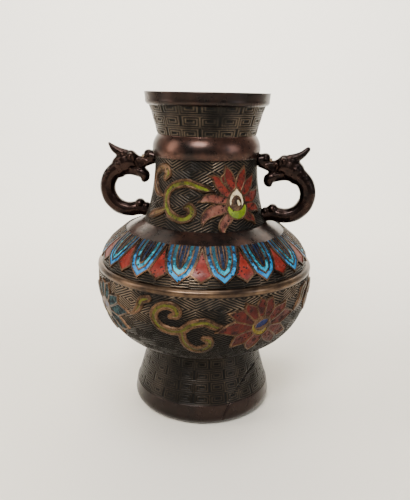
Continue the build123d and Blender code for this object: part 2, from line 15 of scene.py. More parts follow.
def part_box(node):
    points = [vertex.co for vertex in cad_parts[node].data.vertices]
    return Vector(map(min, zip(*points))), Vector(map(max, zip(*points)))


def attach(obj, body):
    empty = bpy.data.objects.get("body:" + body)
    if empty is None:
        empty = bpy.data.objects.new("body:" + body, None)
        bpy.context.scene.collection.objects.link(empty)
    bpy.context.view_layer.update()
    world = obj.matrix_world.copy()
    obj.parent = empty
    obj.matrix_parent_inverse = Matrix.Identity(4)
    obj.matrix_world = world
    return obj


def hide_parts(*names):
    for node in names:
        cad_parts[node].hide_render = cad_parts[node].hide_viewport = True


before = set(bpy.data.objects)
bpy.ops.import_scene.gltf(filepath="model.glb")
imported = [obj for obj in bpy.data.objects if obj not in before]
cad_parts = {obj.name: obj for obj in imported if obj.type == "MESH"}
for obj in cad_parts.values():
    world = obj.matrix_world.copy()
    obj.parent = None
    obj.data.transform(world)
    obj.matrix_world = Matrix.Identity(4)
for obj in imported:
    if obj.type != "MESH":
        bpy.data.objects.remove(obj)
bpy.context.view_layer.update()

# %% [markdown]
# ## The camera
# The camera stands a little over a third of a metre away, level with the rim, and looks down on
# the belly. It is set first, because everything else is judged through it. The azimuth turns it
# towards the right handle, and a small roll matches a camera that was held by hand.

# %% Set the camera
AZIMUTH = radians(7.0)
PITCH = radians(15.76)
ROLL = radians(1.14)
DISTANCE = 0.3529
EYE_HEIGHT = 0.2011
SIDE_STEP = 0.0003
LENS_MM = 40.75


def link(name, data):
    """An object for a camera, a mesh or a lamp, put in the scene."""
    made = bpy.data.objects.new(name, data)
    bpy.context.scene.collection.objects.link(made)
    return made


def place_camera():
    """Create the scene's camera at its stand."""
    data = bpy.data.cameras.new("camera")
    data.lens = LENS_MM
    data.sensor_width = 36.0
    data.clip_start = 0.01
    camera = link("camera", data)
    turn = Matrix.Rotation(AZIMUTH, 4, "Z")
    stand = turn @ Vector((SIDE_STEP, -DISTANCE, EYE_HEIGHT))
    tilt = Matrix.Rotation(pi / 2 - PITCH, 4, "X") @ Matrix.Rotation(ROLL, 4, "Z")
    camera.matrix_world = Matrix.Translation(stand) @ turn @ tilt
    bpy.context.scene.camera = camera
    return camera


camera = place_camera()
print("camera at", [round(v, 3) for v in camera.matrix_world.translation])

# %% [markdown]
# ## Writing materials as sums
# A material is a network of nodes, and a network is hard to read as code. Here a wire between
# two nodes is an object that can be added and multiplied like a number, so a wear mask is
# written as the sum that it is. Every other node comes from one method, which takes the kind of
# node, its settings and the values of its sockets.

# %% Define wires and finishes


class Wire:
    """One value that flows between the nodes of a finish."""

    def __init__(self, finish, socket):
        self.finish = finish
        self.socket = socket

    def math(self, operation, other=0.0, swap=False):
        first, second = (other, self) if swap else (self, other)
        settings = {"operation": operation}
        return self.finish.node("ShaderNodeMath", settings, {0: first, 1: second})

    def __add__(self, other):
        return self.math("ADD", other)

    def __sub__(self, other):
        return self.math("SUBTRACT", other)

    def __mul__(self, other):
        return self.math("MULTIPLY", other)

    def __pow__(self, other):
        return self.math("POWER", other)

    def __rsub__(self, other):
        return self.math("SUBTRACT", other, swap=True)

    __radd__ = __add__
    __rmul__ = __mul__

    def step(self, low, high):
        """A soft step: 0 below low, 1 above high."""
        return self.finish.node(
            "ShaderNodeMapRange",
            {"interpolation_type": "SMOOTHSTEP"},
            {"Value": self, "From Min": low, "From Max": high},
        )


class Finish:
    """A material and the one method that adds nodes to it."""

    def __init__(self, name):
        self.material = bpy.data.materials.new(name)
        self.material.use_nodes = True
        self.tree = self.material.node_tree
        self.shader = next(n for n in self.tree.nodes if n.type == "BSDF_PRINCIPLED")

    def plug(self, socket, value):
        if isinstance(value, Wire):
            self.tree.links.new(value.socket, socket)
        else:
            socket.default_value = value

    def node(self, kind, settings=None, sockets=None, out=0):
        made = self.tree.nodes.new(kind)
        for key, value in (settings or {}).items():
            setattr(made, key, value)
        for key, value in (sockets or {}).items():
            self.plug(made.inputs[key], value)
        return Wire(self, made.outputs[out])

    def surface(self, **sockets):
        for key, value in sockets.items():
            self.plug(self.shader.inputs[key.replace("_", " ")], value)
        return self.material

    def mix(self, factor, first, second):
        """Blend two colours."""
        pair = [c if isinstance(c, Wire) else (*c, 1.0) for c in (first, second)]
        settings = {"data_type": "RGBA", "clamp_factor": True}
        return self.node("ShaderNodeMix", settings, {0: factor, 6: pair[0], 7: pair[1]}, out=2)

    def place(self):
        return self.node("ShaderNodeTexCoord", out="Object")

    def noise(self, scale, detail=4.0, roughness=0.6):
        """Cloudy noise; the scale is in features per metre."""
        sockets = {"Vector": self.place(), "Scale": scale, "Detail": detail}
        sockets["Roughness"] = roughness
        return self.node("ShaderNodeTexNoise", None, sockets)

    def cells(self, scale):
        """Distance to scattered points; the scale is in points per metre."""
        sockets = {"Vector": self.place(), "Scale": scale}
        return self.node("ShaderNodeTexVoronoi", None, sockets, out="Distance")

    def attribute(self, name):
        return self.node("ShaderNodeAttribute", {"attribute_name": name}, out="Fac")

    def bump(self, height, distance, strength=1.0):
        sockets = {"Height": height, "Distance": distance, "Strength": strength}
        return self.node("ShaderNodeBump", None, sockets)


print("a finish is ready to be mixed")

# %% [markdown]
# ## Bronze
# The castings are old bronze: almost black in the hollows, where dust and patina stay, and
# rubbed back to brown metal on every ridge that a cloth reaches. Each casting carries two
# numbers at every point: how high the chased relief stands, and whether the spot lies on a plain
# band. The finish reads both, so the wear always falls on the real ridges.

# %% Mix the bronze finishes
HOLLOW = (0.004, 0.0035, 0.003)
RIDGE = (0.150, 0.108, 0.072)
BAND_DARK = (0.014, 0.010, 0.009)
BAND_WARM = (0.075, 0.034, 0.024)
BRASS_DARK = (0.030, 0.019, 0.013)
BRASS_WARM = (0.150, 0.090, 0.050)


def bronze_finish(name, hollow, ridge, dark, warm, shine):
    """Chased and plain bronze in one finish."""
    finish = Finish(name)
    relief = finish.attribute("relief")
    plain = finish.attribute("plain")
    rubbed = finish.attribute("rubbed")
    cloud = finish.noise(32.0, detail=3.0)
    grain = finish.noise(900.0, detail=6.0)
    smear = finish.noise(190.0, detail=5.0)
    worn = (relief ** 1.5) * (0.12 + rubbed * cloud.step(0.36, 0.66)) * (0.5 + 0.9 * grain)
    chased = finish.mix(worn.step(0.0, 1.0), hollow, ridge)
    patch = (cloud * 0.75 + smear * 0.25).step(0.40, 0.64) * rubbed
    band = finish.mix(patch, dark, warm)
    dulled = finish.mix(grain.step(0.55, 0.75) * 0.35, band, dark)
    colour = finish.mix(plain, chased, dulled)
    rough_chased = 0.56 - 0.26 * relief
    rough_band = shine + 0.18 * smear
    rough = rough_chased * (1.0 - plain) + rough_band * plain
    height = grain * 0.5 + smear * 0.5
    return finish.surface(
        Base_Color=colour, Metallic=0.8, Roughness=rough, Normal=finish.bump(height, 0.00005, 0.5)
    )


bronze = bronze_finish("dark_bronze", HOLLOW, RIDGE, BAND_DARK, BAND_WARM, 0.20)
brassy = bronze_finish("worn_brass", HOLLOW, RIDGE, BRASS_DARK, BRASS_WARM, 0.22)
print("bronze finishes mixed")

# %% [markdown]
# ## Reading the profile from the castings
# The castings were turned about the vertical axis, so one curve of radius against height
# describes each of them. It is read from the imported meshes: the vertices of the faces that look
# outwards, or inwards for the lining.

# %% Read the profiles
MM = 0.001


def profile(node, side):
    """Heights and radii, in millimetres, of the faces that look out (side 1) or in (side -1)."""
    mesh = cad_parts[node].data
    count = len(mesh.vertices)
    spots = np.empty(count * 3)
    mesh.vertices.foreach_get("co", spots)
    spots = spots.reshape(-1, 3) / MM
    mesh.calc_loop_triangles()
    faces = np.empty(len(mesh.loop_triangles) * 3, dtype=np.int64)
    mesh.loop_triangles.foreach_get("vertices", faces)
    a, b, c = (spots[faces.reshape(-1, 3)[:, k]] for k in range(3))
    normal = np.cross(b - a, c - a)
    middle = (a + b + c) / 3
    away = (normal * middle)[:, :2].sum(axis=1)
    length = np.linalg.norm(normal, axis=1) * np.linalg.norm(middle[:, :2], axis=1)
    chosen = faces.reshape(-1, 3)[side * away > 0.03 * length]
    points = spots[np.unique(chosen)]
    radius = np.hypot(points[:, 0], points[:, 1])
    return np.unique(np.round(np.column_stack([points[:, 2], radius]), 2), axis=0)


def between(curve, low, high, step):
    """Points of a profile from one height to another, about a step apart.

    Where a ledge gives two radii at one height, the end takes the radius nearer its stretch.
    """
    inside = curve[(curve[:, 0] > low + 0.03) & (curve[:, 0] < high - 0.03)]
    ends = []
    for height in (low, high):
        gap = np.abs(curve[:, 0] - height)
        there = curve[gap <= max(gap.min(), 0.03)]
        other = high if height == low else low
        near = curve[np.abs(curve[:, 0] - other) <= 0.03]
        pool = inside if len(inside) else near
        ahead = pool[0] if height == low else pool[-1]
        ends.append(there[np.argmin(np.abs(there[:, 1] - ahead[1]))])
    line = np.vstack([ends[:1], inside, ends[1:]])
    along = np.concatenate([[0.0], np.cumsum(np.hypot(*np.diff(line, axis=0).T))])
    count = max(int(round(along[-1] / step)), 2)
    marks = np.linspace(0.0, along[-1], count + 1)
    return np.column_stack([np.interp(marks, along, line[:, k]) for k in (1, 0)])


def rise_at(points, height):
    """Length along a profile up to a height."""
    along = np.concatenate([[0.0], np.cumsum(np.hypot(*np.diff(points, axis=0).T))])
    return np.interp(height, points[:, 1], along)


z_foot_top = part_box("foot_casting")[1][2] / MM
z_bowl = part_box("bowl_casting")[0][2] / MM
z_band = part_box("belly_band")[0][2] / MM
z_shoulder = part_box("shoulder_casting")[0][2] / MM
z_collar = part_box("neck_casting")[0][2] / MM
z_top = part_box("neck_casting")[1][2] / MM
FOOT_BAND = 14.0
COLLAR_HEIGHT = 5.6
NECK_HEIGHT = 39.9
BEAD_HEIGHT = 13.0
MOUTH_HEIGHT = 17.1
z_neck = z_collar + COLLAR_HEIGHT
z_bead = z_neck + NECK_HEIGHT
z_mouth = z_bead + BEAD_HEIGHT
z_rim = z_mouth + MOUTH_HEIGHT
heights = [z_foot_top, z_bowl, z_band, z_shoulder, z_collar, z_neck, z_bead, z_mouth, z_rim, z_top]
print("heights:", [round(z, 1) for z in heights])

# %% [markdown]
# ## Chased grounds
# Three patterns fill the ground. Nested lozenges cover the neck and the bowl, a key fret covers
# the mouth and the foot, and stepped lines run round the shoulder. Each one is a height that
# depends on the distance to the nearest line of the pattern, worked out for every point of the
# surface at once. The number of repeats round the vase is whole, so the pattern closes.

# %% Draw the grounds as heights


def smooth(low, high, value):
    """The soft step, for arrays."""
    t = np.clip((value - low) / (high - low), 0.0, 1.0)
    return t * t * (3.0 - 2.0 * t)


def lozenges(turns, height, lines, shift):
    """Nested lozenges, as many round the vase as turns, in rows of a given height."""

    def relief(angle, rise):
        u = angle * turns / (2 * pi) + shift[0]
        v = (rise - shift[1]) / height
        du = np.abs(u - np.round(u)) * 2.0
        dv = np.abs(v - np.round(v)) * 2.0
        depth = np.where(du + dv > 1.0, 2.0 - du - dv, du + dv)
        wave = np.abs(depth * lines - np.round(depth * lines)) * 2.0
        return 1.0 - smooth(0.28, 0.66, wave)

    return relief


FRET = [(0.0, 0.06), (1.0, 0.06), (1.0, 0.90), (0.12, 0.90), (0.12, 0.24), (0.86, 0.24)]
FRET += [(0.86, 0.72), (0.27, 0.72), (0.27, 0.42), (0.70, 0.42), (0.70, 0.56)]


def key_fret(turns, row_height, half_line=0.05, start=0.0):
    """Rows of square hooks that turn alternately left and right."""

    def relief(angle, rise):
        u = angle * turns / (2 * pi)
        v = (rise + start) / row_height
        cell = np.floor(u)
        row = np.floor(v)
        x = u - cell
        x = np.where((cell + row) % 2 > 0.5, 1.0 - x, x)
        y = v - row
        nearest = np.full(np.broadcast(x, y).shape, 9.0)
        for (x0, y0), (x1, y1) in zip(FRET[:-1], FRET[1:]):
            gap_x = np.maximum(np.maximum(min(x0, x1) - x, x - max(x0, x1)), 0.0)
            gap_y = np.maximum(np.maximum(min(y0, y1) - y, y - max(y0, y1)), 0.0)
            nearest = np.minimum(nearest, np.maximum(gap_x, gap_y))
        return 1.0 - smooth(half_line - 0.025, half_line + 0.035, nearest)

    return relief


def stepped_lines(turns, pitch):
    """Lines round the vase that step up and down by half a pitch."""

    def relief(angle, rise):
        u = angle * turns / (2 * pi)
        cell = np.floor(u)
        step = 0.5 * (cell % 2)
        v = rise / pitch + step
        wave = np.abs(v - np.round(v)) * 2.0
        lines = 1.0 - smooth(0.35, 0.75, wave)
        post = 1.0 - smooth(0.02, 0.05, np.abs(u - np.round(u)))
        return np.maximum(lines, 0.8 * post)

    return relief


def plain(angle, rise):
    """No pattern: a plain band."""
    return np.zeros(np.broadcast(angle, rise).shape)


print("grounds: nested lozenges, key fret, stepped lines")

# %% [markdown]
# ## Building a casting
# A casting is a grid of points: columns round the axis and rows along the profile, up the
# outside and down the inside, closed into a ring. Each row belongs to a zone with its own
# ground. The relief moves the points outwards, and a slow ripple leaves the slight unevenness of
# a hand-finished casting.

# %% Build grids of revolution
RIPPLE = 0.12


def quad_piece(name, spots, quads, flat, numbers):
    """A smooth piece from an array of points and one of four-cornered faces.

    Flat is the unwrapped map, corner by corner, and numbers are the values that its points carry.
    """
    mesh = bpy.data.meshes.new(name)
    mesh.vertices.add(len(spots))
    mesh.vertices.foreach_set("co", spots.ravel())
    mesh.loops.add(quads.size)
    mesh.loops.foreach_set("vertex_index", quads.ravel())
    mesh.polygons.add(len(quads))
    mesh.polygons.foreach_set("loop_start", np.arange(len(quads)) * 4)
    mesh.polygons.foreach_set("use_smooth", np.ones(len(quads), dtype=bool))
    for key, values in numbers.items():
        layer = mesh.attributes.new(key, "FLOAT", "POINT")
        layer.data.foreach_set("value", values.ravel())
    layer = mesh.uv_layers.new(name="OFBake")
    layer.data.foreach_set("uv", flat.astype(np.float32).ravel())
    mesh.update(calc_edges=True)
    mesh.validate()
    print(name, "faces:", len(quads))
    return link(name, mesh)


def ripple(angle, z):
    """A slow unevenness, in millimetres, that repeats once round the vase."""
    waves = np.sin(3 * angle + 0.06 * z) + 0.7 * np.sin(5 * angle - 0.11 * z + 1.0)
    waves = waves + 0.5 * np.sin(2 * angle + 0.23 * z + 2.0) + 0.3 * np.sin(11 * angle + 0.4 * z)
    return waves / 2.5


class Casting:
    """Rows of a turned casting, zone by zone, from the outside round to the inside."""

    def __init__(self, name, columns):
        self.name = name
        self.columns = columns
        self.rows = []
        self.heights = []
        self.numbers = {"relief": [], "plain": [], "rubbed": []}
        self.angle = np.arange(columns)[None, :] * (2 * pi / columns)

    def zone(self, points, ground=plain, depth=0.0, band=1.0, uneven=RIPPLE, rubbed=1.0):
        """Add a stretch of profile with its ground; depth is the relief in millimetres."""
        points = np.asarray(points, dtype=float)
        run = np.hypot(*np.diff(points, axis=0).T)
        along = np.concatenate([[0.0], np.cumsum(run)])[:, None]
        tangent = np.gradient(points, axis=0)
        tangent /= np.linalg.norm(tangent, axis=1)[:, None]
        relief = ground(self.angle, along)
        lift = relief * depth + uneven * ripple(self.angle, points[:, 1:2])
        radius = points[:, :1] + lift * tangent[:, 1:2]
        height = np.broadcast_to(points[:, 1:2] - lift * tangent[:, :1], radius.shape)
        start = 0
        if self.rows and np.hypot(*(points[0] - self.end)) < 0.05:
            start = 1
        self.end = points[-1]
        self.rows.append(radius[start:])
        self.heights.append(height[start:])
        for key, value in (("relief", relief), ("plain", band), ("rubbed", rubbed)):
            self.numbers[key].append(np.broadcast_to(value, radius.shape)[start:])
        return self

    def scar(self, line, width, depth, rows):
        """A crack or a dent along (azimuth, height) points, in the rows' own stretch."""
        radius, height = self.rows[rows], self.heights[rows]
        across = (self.angle + pi) % (2 * pi) - pi
        nearest = np.full(radius.shape, 99.0)
        for (turn, low), (next_turn, high) in zip(line[:-1], line[1:]):
            reach = radius.mean()
            a = np.array([radians(turn) * reach, low])
            b = np.array([radians(next_turn) * reach, high])
            x, z = across * radius - a[0], height - a[1]
            t = np.clip((x * (b - a)[0] + z * (b - a)[1]) / ((b - a) @ (b - a)), 0.0, 1.0)
            gap = np.hypot(x - t * (b - a)[0], z - t * (b - a)[1])
            nearest = np.minimum(nearest, gap)
        self.rows[rows] = radius - depth * np.exp(-((nearest / width) ** 2))
        return self

    def build(self):
        """Make the mesh, with its relief and band numbers and an unwrapped map."""
        radius = np.vstack(self.rows)
        height = np.vstack(self.heights)
        count, columns = radius.shape
        x = radius * np.sin(self.angle)
        y = -radius * np.cos(self.angle)
        spots = np.stack([x, y, np.maximum(height, 0.0)], axis=-1).reshape(-1, 3) * MM
        row = np.arange(count)[:, None]
        column = np.arange(columns)[None, :]
        after = (column + 1) % columns
        above = (row + 1) % count
        corners = [row * columns + column, row * columns + after]
        corners += [above * columns + after, above * columns + column]
        quads = np.stack(corners, axis=-1).reshape(-1, 4)
        numbers = {key: np.vstack(parts) for key, parts in self.numbers.items()}
        step = np.hypot(np.diff(radius.mean(axis=1)), np.diff(height.mean(axis=1)))
        rise = np.concatenate([[0.0], np.cumsum(step)])
        rise = np.append(rise / (rise[-1] * 1.01), 1.0)
        u = np.stack([column, column + 1, column + 1, column], axis=-1) / columns
        v = np.stack([rise[:-1], rise[:-1], rise[1:], rise[1:]], axis=-1)[:, None, :]
        flat = np.stack(np.broadcast_arrays(u, v), axis=-1)
        return quad_piece(self.name, spots, quads, flat, numbers)


def refinish(piece, material):
    """Give a piece one finish."""
    piece.data.materials.clear()
    piece.data.materials.append(material)


def settle(piece, material, slot, *nodes):
    """Give a piece its finish and its place in the assembly."""
    refinish(piece, material)
    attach(piece, "root")
    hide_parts(*nodes)


print("casting builder ready")

# %% [markdown]
# ## The foot
# The foot has a plain rolled band at the table and a flare above it, chased with five rows of
# key fret. The same builder then makes the ring that was brazed between foot and bowl.

# %% Cast the foot and its joint ring
COLUMNS = 720
FINE = 0.25


def line_and_build(casting, node, low, high):
    """Add a casting's inside, from the top down, and make the piece."""
    inner = between(profile(node, -1), low, high, 1.2)[::-1]
    casting.zone(inner, band=0.6, uneven=0.5 * RIPPLE)
    piece = casting.build()
    settle(piece, bronze, "dark_bronze", node)
    return piece


outer = profile("foot_casting", 1)
foot = Casting("foot", COLUMNS)
foot.zone(between(outer, 0.0, FOOT_BAND, 0.5), rubbed=0.15)
flare = between(outer, FOOT_BAND, z_foot_top, 0.3)
row = rise_at(flare, z_foot_top) / 4.4
foot.zone(flare, key_fret(26, row), depth=0.24, band=0.0, rubbed=0.16)
crack = [(67.0, 31.0), (53.0, 27.7), (43.4, 22.8), (35.8, 17.5), (30.0, 13.0), (27.0, 9.0)]
crack += [(25.0, 4.5)]
dent = [(58.0, 24.0), (44.0, 16.0)]
for stretch in (0, 1):
    foot.scar(crack, 0.5, 0.9, stretch)
    foot.scar(dent, 5.0, 0.8, stretch)
foot = line_and_build(foot, "foot_casting", 0.0, z_foot_top)


def plain_ring(name, node, material):
    """A ring without relief."""
    low, high = (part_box(node)[k][2] / MM for k in (0, 1))
    ring = Casting(name, 360)
    ring.zone(between(profile(node, 1), low, high, 0.35))
    ring.zone(between(profile(node, -1), low, high, 0.8)[::-1], uneven=0.0)
    ring = ring.build()
    settle(ring, material, "worn_brass", node)
    return ring


joint_ring = plain_ring("joint_ring", "foot_joint_ring", brassy)
belly_band = plain_ring("band", "belly_band", brassy)

# %% [markdown]
# ## The bowl and the shoulder
# The bowl is covered with nested lozenges, sixteen of them round the belly. The shoulder shows
# a few stepped lines between the tips of the petals and the band.

# %% Cast the bowl and the shoulder
outer = profile("bowl_casting", 1)
wall_of_bowl = between(outer, z_bowl, z_band, FINE)
bowl = Casting("bowl", COLUMNS)
crossing = rise_at(wall_of_bowl, 86.7)
# the ridges of the bowl show more bright metal higher up and stay darker towards the bottom
ridges_lighter_higher_up = 0.08 + 1.0 * smooth(64.0, 89.0, wall_of_bowl[:, 1:2])
ground = lozenges(16, 12.2, 4, (0.342, crossing))
bowl.zone(wall_of_bowl, ground, depth=0.45, band=0.0, rubbed=ridges_lighter_higher_up)
bowl = line_and_build(bowl, "bowl_casting", z_bowl, z_band)

outer = profile("shoulder_casting", 1)
wall_of_shoulder = between(outer, z_shoulder, z_collar, 0.3)
shoulder = Casting("shoulder", COLUMNS)
shoulder.zone(wall_of_shoulder, stepped_lines(40, 1.5), depth=0.45, band=0.0, rubbed=0.6)
shoulder = line_and_build(shoulder, "shoulder_casting", z_shoulder, z_collar)

# %% [markdown]
# ## The neck
# One casting carries the collar, the neck, a plain bead, the mouth and the rim. The collar, the
# bead and the rim are left plain, so they take the light as smooth bands.

# %% Cast the neck
outer = profile("neck_casting", 1)
neck = Casting("neck", 500)
neck.zone(between(outer, z_collar, z_neck, 0.5))
stretch = between(outer, z_neck, z_bead, FINE)
middle = rise_at(stretch, z_neck + 20.0)
neck.zone(stretch, lozenges(8, 14.0, 4, (0.2, middle)), depth=0.45, band=0.0, rubbed=0.45)
neck.zone(between(outer, z_bead, z_mouth, 0.5))
stretch = between(outer, z_mouth, z_rim, 0.3)
neck.zone(stretch, key_fret(18, 7.4, start=2.2), depth=0.36, band=0.0, rubbed=0.4)
lip = between(outer, z_rim, z_top, 0.5)
neck.zone(lip, rubbed=0.35)
throat = between(profile("neck_casting", -1), z_collar, z_top, 1.0)[::-1]
steps = max(int(round(np.hypot(*(throat[0] - lip[-1])) / 0.5)), 2)
neck.zone(np.linspace(lip[-1], throat[0], steps + 1))
neck.zone(throat, band=0.7, uneven=0.5 * RIPPLE)
neck = neck.build()
settle(neck, bronze, "dark_bronze", "neck_casting")

# %% [markdown]
# ## The dragon handles
# Each handle is a small dragon: a tail that curls out and down, a head that bites the bead, and
# a horn. It is modelled like clay. Balls are strung along curves until they make the limbs, the
# whole is fused into one skin, and the skin is smoothed. The mouth, the brow, the root of the horn,
# the nostril and the cheek are then cut in with a rounded tool, and the snout is pressed flat.

# %% Model the handles
TAIL = (49.6, 140.3)
TAIL_REACH = 13.7
BALL_GAP = 0.35
# Back of the head, snout, upper lip, lower jaw, chin, and the claw that holds the neck.
LIMBS = [
    (0.80, [(56.0, 151.6, 5.6), (53.6, 154.8, 6.8), (50.2, 157.2, 6.9), (46.4, 157.0, 5.8)]),
    (0.90, [(47.0, 157.0, 5.6), (43.0, 156.6, 4.5), (39.0, 157.4, 3.6), (34.0, 159.4, 3.7)]),
    (1.25, [(32.6, 161.0, 3.4), (34.4, 161.6, 3.2), (36.4, 162.2, 3.0), (36.8, 162.2, 2.9)]),
    (0.84, [(54.4, 152.2, 4.8), (49.4, 153.4, 5.0), (44.6, 152.2, 4.4), (41.0, 150.6, 3.8)]),
    (1.15, [(41.0, 150.6, 3.6), (39.2, 149.4, 3.5), (38.8, 147.4, 3.0), (39.6, 145.9, 2.0)]),
    (0.95, [(47.4, 126.6, 4.8), (44.0, 127.0, 4.3), (40.4, 126.8, 3.9), (35.0, 125.6, 3.9)]),
]
# Two toes, the brow and the tongue.
LUMPS = [
    ((42.2, 0.0, 130.8), (3.4, 4.2, 3.2)),
    ((38.0, 0.0, 129.2), (2.6, 3.6, 2.6)),
    ((47.9, 0.0, 161.0), (3.6, 4.3, 3.4)),
    ((42.2, 0.0, 153.6), (3.6, 3.2, 3.0)),
]
# Cheek, jaw muscle, nostril.
CHEEKS = [
    ((55.0, 4.6, 155.4), (2.2, 1.1, 2.2)),
    ((51.0, 4.6, 156.4), (1.6, 1.0, 1.5)),
    ((36.6, 3.2, 161.8), (1.5, 1.2, 1.4)),
]
# The mouth, the brow, the horn's root, the nostril and the cheek: a line, its width and its depth.
GROOVES = [
    ([(33.6, 155.6), (38.0, 153.7), (42.0, 153.2), (46.4, 154.0)], 0.5, 1.6),
    ([(40.6, 161.4), (43.2, 160.0), (44.6, 157.4), (43.6, 155.0)], 0.5, 0.7),
    ([(52.4, 161.2), (56.0, 163.2), (59.6, 165.4)], 0.4, 0.5),
    ([(36.4, 158.6), (38.4, 159.6), (40.4, 160.2)], 0.5, 0.9),
    ([(52.6, 153.0), (54.4, 157.6), (57.4, 158.6)], 0.5, 0.5),
]


def spline(stops, gap, measured):
    """Points a gap apart on a smooth curve through stops, without the last one.

    Measured is how many of a stop's numbers count towards the gap.
    """
    stops = [np.array(stop, dtype=float) for stop in stops]
    stops = [2 * stops[0] - stops[1], *stops, 2 * stops[-1] - stops[-2]]
    points = []
    for before, start, end, after in zip(stops, stops[1:], stops[2:], stops[3:]):
        count = max(int(np.linalg.norm((end - start)[:measured]) / gap), 2)
        t = (np.arange(count) / count)[:, None]
        cubic = (3 * start - before - 3 * end + after) * t ** 3
        square = (2 * before - 5 * start + 4 * end - after) * t ** 2
        points.append(0.5 * (2 * start + (end - before) * t + square + cubic))
    return np.vstack(points)


def limb(clay, stops, width):
    """String balls along a smooth curve; each stop is (x, z, radius) in millimetres."""
    for x, z, radius in spline(stops, BALL_GAP, 3):
        ball(clay, (x, 0.0, z), (radius, radius * width, radius))


def ball(clay, centre, radii, tilt=0.0):
    """Press a ball, or an egg, of clay onto the figure."""
    place = Matrix.Translation(Vector(centre)) @ Matrix.Rotation(tilt, 4, "Y")
    place = place @ Matrix.Diagonal((*radii, 1.0))
    bmesh.ops.create_icosphere(clay, subdivisions=2, radius=1.0, matrix=place)


def arc_stops(centre, radius, start, end, thick, count=12):
    """Stops along an arc; thick gives the radius of the limb at both ends."""
    stops = []
    for k in range(count + 1):
        t = k / count
        turn = radians(start + (end - start) * t)
        x, z = centre[0] + radius * cos(turn), centre[1] + radius * sin(turn)
        stops.append((x, z, thick[0] + (thick[1] - thick[0]) * t))
    return stops


def groove(points, line, width, depth):
    """Cut a rounded groove along a line of (x, z) points, into both flanks."""
    flat = points[:, [0, 2]]
    nearest = np.full(len(points), 99.0)
    for a, b in zip(line[:-1], line[1:]):
        a, b = np.array(a), np.array(b)
        t = np.clip(((flat - a) @ (b - a)) / ((b - a) @ (b - a)), 0.0, 1.0)
        nearest = np.minimum(nearest, np.linalg.norm(flat - a - t[:, None] * (b - a), axis=1))
    cut = depth * np.exp(-((nearest / width) ** 2))
    flank = np.abs(points[:, 1]) / (np.abs(points[:, 1]) + 1.2)
    points[:, 1] -= np.sign(points[:, 1]) * cut * flank


def curl(clay, centre, start, end, radius, thick, flank):
    """A raised spiral on a flank, wound between two angles in degrees."""
    count = int(abs(end - start) / 9)
    for k in range(count + 1):
        t = k / count
        turn = radians(start + (end - start) * t)
        reach = radius * (1.0 - 0.55 * t)
        spot = (centre[0] + reach * cos(turn), flank * centre[1], centre[2] + reach * sin(turn))
        ball(clay, spot, (thick * (1.0 - 0.3 * t),) * 3)


def dragon(name, side):
    """Model one handle; side is 1 for the right and -1 for the left."""
    clay = bmesh.new()
    limb(clay, arc_stops(TAIL, TAIL_REACH, -106, 66, (4.7, 5.3)), width=0.94)
    tip = 1.6 if side > 0 else 0.8
    horn = (0.9, [(50.6, 161.0, 3.6), (54.8, 162.6, 3.0), (58.6, 164.8, 2.3), (62.0, 168.2, tip)])
    for width, stops in LIMBS + [horn]:
        limb(clay, stops, width)
    for centre, radii in LUMPS:
        ball(clay, centre, radii)
    for flank in (-1, 1):
        ball(clay, (47.6, 4.4 * flank, 160.4), (1.3, 1.0, 1.3))
        curl(clay, (47.6, 4.3, 160.4), 200, -80, 2.7, 0.6, flank)
        for (x, y, z), radii in CHEEKS:
            ball(clay, (x, y * flank, z), radii)
        ball(clay, (50.2, 3.6 * flank, 152.8), (2.6, 1.2, 1.5), radians(20))
        for turn, size in ((46, 1.9), (33, 1.6)):
            x = TAIL[0] + 15.6 * cos(radians(turn))
            z = TAIL[1] + 15.6 * sin(radians(turn))
            ball(clay, (x, 3.5 * flank, z), (size, 1.3, size))
    for spot in clay.verts:
        spot.co.x *= side
    if side < 0:
        bmesh.ops.reverse_faces(clay, faces=clay.faces)
    bmesh.ops.scale(clay, vec=(MM, MM, MM), verts=clay.verts)
    rough = bpy.data.meshes.new(name + "_clay")
    clay.to_mesh(rough)
    clay.free()
    figure = link(name + "_clay", rough)
    fuse = figure.modifiers.new("fuse", "REMESH")
    fuse.mode = "VOXEL"
    fuse.voxel_size = 0.00042
    soften = figure.modifiers.new("soften", "SMOOTH")
    soften.iterations = 6
    soften.factor = 0.6
    fused = figure.evaluated_get(bpy.context.evaluated_depsgraph_get())
    mesh = bpy.data.meshes.new_from_object(fused)
    bpy.data.objects.remove(figure)
    mesh.name = name
    spots = np.empty(len(mesh.vertices) * 3)
    mesh.vertices.foreach_get("co", spots)
    spots = spots.reshape(-1, 3) / MM
    spots[:, 0] *= side
    carve(spots)
    spots[:, 0] *= side
    mesh.vertices.foreach_set("co", (spots * MM).ravel())
    mesh.polygons.foreach_set("use_smooth", np.ones(len(mesh.polygons), dtype=bool))
    mesh.update()
    print(name, "faces:", len(mesh.polygons))
    return link(name, mesh)


def carve(spots):
    """Cut the grooves and the flat of the snout."""
    for line, width, depth in GROOVES:
        groove(spots, line, width, depth)
    flat = np.exp(-(((spots[:, 0] - 40.2) / 3.4) ** 2 + ((spots[:, 2] - 157.0) / 2.6) ** 2) ** 2)
    flank = np.abs(spots[:, 1])
    spots[:, 1] = np.sign(spots[:, 1]) * (flank - flat * np.maximum(flank - 2.6, 0.0))


handle_right = dragon("dragon_right", 1)
handle_left = dragon("dragon_left", -1)

# %% [markdown]
# ## Enamel
# The enamel was fused in the cells and ground level, so it is smooth between many small pits
# where bubbles broke. Dirt stays in the pits. Each colour has specks of a lighter glass in it.
# Under the collar's corner the petals are also darkened with painted shade.

# %% Mix the enamels
FADED = (0.150, 0.066, 0.046)
# the colour of pits and dirt, also used for the painted shade under the collar
PIT_DIRT_AND_SHADE = (0.010, 0.008, 0.008)
SHADE_LOW, SHADE_HIGH = 0.103, 0.1165  # heights over which the painted shade in the collar's corner spreads
